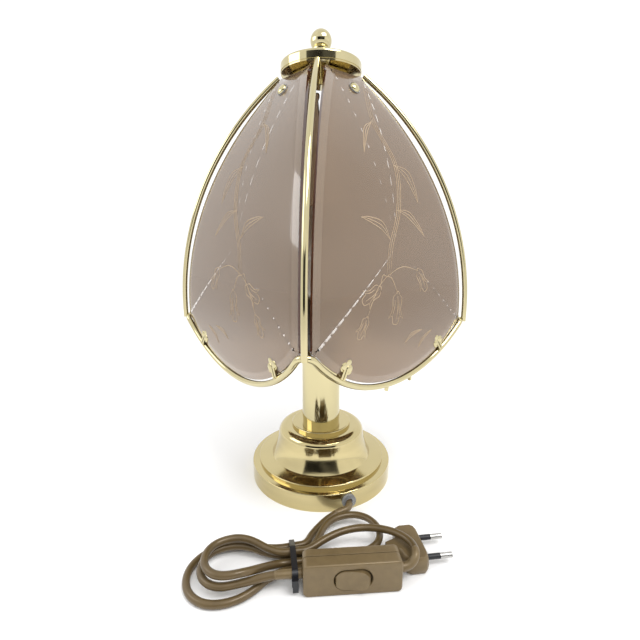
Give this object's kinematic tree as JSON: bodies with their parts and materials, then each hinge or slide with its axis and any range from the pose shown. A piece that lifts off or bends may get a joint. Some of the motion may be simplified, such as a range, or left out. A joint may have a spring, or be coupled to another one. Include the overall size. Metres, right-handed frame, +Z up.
{
  "type": "table lamp",
  "caption": "Table lamp with a tulip-shaped shade of bent glass panels on a rod frame, a tubular column, a stepped round base and a tied mains cord with inline rocker switch and flat plug.",
  "frame": {"origin": "centre of the base's underside, on the column's axis", "axes": "+Z up along the column, -Y towards the front where the cord leaves, +X to the viewer's right"},
  "size_m": [0.2652, 0.2939, 0.397],
  "materials": {
    "polished_brass": "polished",
    "felt": "matte",
    "cover_board": "matte",
    "ballast": "rough",
    "zinc_steel": "satin",
    "smoked_glass": "satin, bronze-tinted, with a pale etched motif",
    "clear_rubber": "translucent",
    "bakelite": "gloss",
    "ceramic": "glazed",
    "sleeve_brass": "satin",
    "bulb_metal": "satin",
    "bulb_glass": "frosted",
    "gold_cord": "satin",
    "tie_black": "satin",
    "gold_plastic": "satin, painted antique gold"
  },
  "bodies": {
    "stand": {"base_cover": "cover_board", "base_shell": "polished_brass", "base_weight": "ballast", "cable_tie": "tie_black", "column_cap": "polished_brass", "column_collar": "polished_brass", "column_tube": "polished_brass", "cord_fold": "gold_cord", "cord_gland": "clear_rubber", "cord_hank": "gold_cord", "cord_lead": "gold_cord", "cord_loop": "gold_cord", "cord_plug_lead": "gold_cord", "felt_pad": "felt", "harp_ferrules": "polished_brass", "harp_saddle": "polished_brass", "harp_stud": "polished_brass", "harp_wire": "polished_brass", "inner_lead": "gold_cord", "lampholder_base": "bakelite", "lampholder_contact": "zinc_steel", "lampholder_insert": "ceramic", "lampholder_shell": "bakelite", "lampholder_sleeve": "sleeve_brass", "pin_sleeves": "tie_black", "plug_body": "gold_plastic", "plug_pins": "zinc_steel", "stem_nut": "zinc_steel", "stem_rod": "zinc_steel", "stem_washer": "zinc_steel", "switch_front_cover": "gold_plastic", "switch_rear_cover": "gold_plastic", "switch_screws": "zinc_steel"},
    "shade": {"crown_cap": "polished_brass", "crown_spacer": "polished_brass", "crown_spider": "polished_brass", "rib_front": "polished_brass", "rib_right": "polished_brass", "rib_rear": "polished_brass", "rib_left": "polished_brass", "shade_ring": "polished_brass", "ring_clips": "polished_brass", "ring_lugs": "polished_brass", "glass_right_front": "smoked_glass", "glass_right_rear": "smoked_glass", "glass_left_rear": "smoked_glass", "glass_left_front": "smoked_glass", "panel_screws": "polished_brass", "panel_pads": "clear_rubber", "panel_nuts": "zinc_steel"},
    "finial": {"finial": "polished_brass"},
    "bulb": {"bulb_cap": "bulb_metal", "bulb_glass": "bulb_glass"},
    "rocker": {"switch_rocker": "gold_plastic"}
  },
  "joints": [
    {"name": "shade_turn", "type": "hinge", "parent": "stand", "child": "shade", "pos_m": [0, 0, 0.36], "axis": [0, 0, 1], "continuous": true},
    {"name": "finial_screw", "type": "hinge", "parent": "stand", "child": "finial", "pos_m": [0, 0, 0.38], "axis": [0, 0, 1], "continuous": true},
    {"name": "bulb_screw", "type": "hinge", "parent": "stand", "child": "bulb", "pos_m": [0, 0, 0.16], "axis": [0, 0, 1], "continuous": true},
    {"name": "switch_rocker_tilt", "type": "hinge", "parent": "stand", "child": "rocker", "pos_m": [0.02106, -0.14449, 0.012], "axis": [0, 0, 1], "range_deg": [0, 12]}
  ]
}
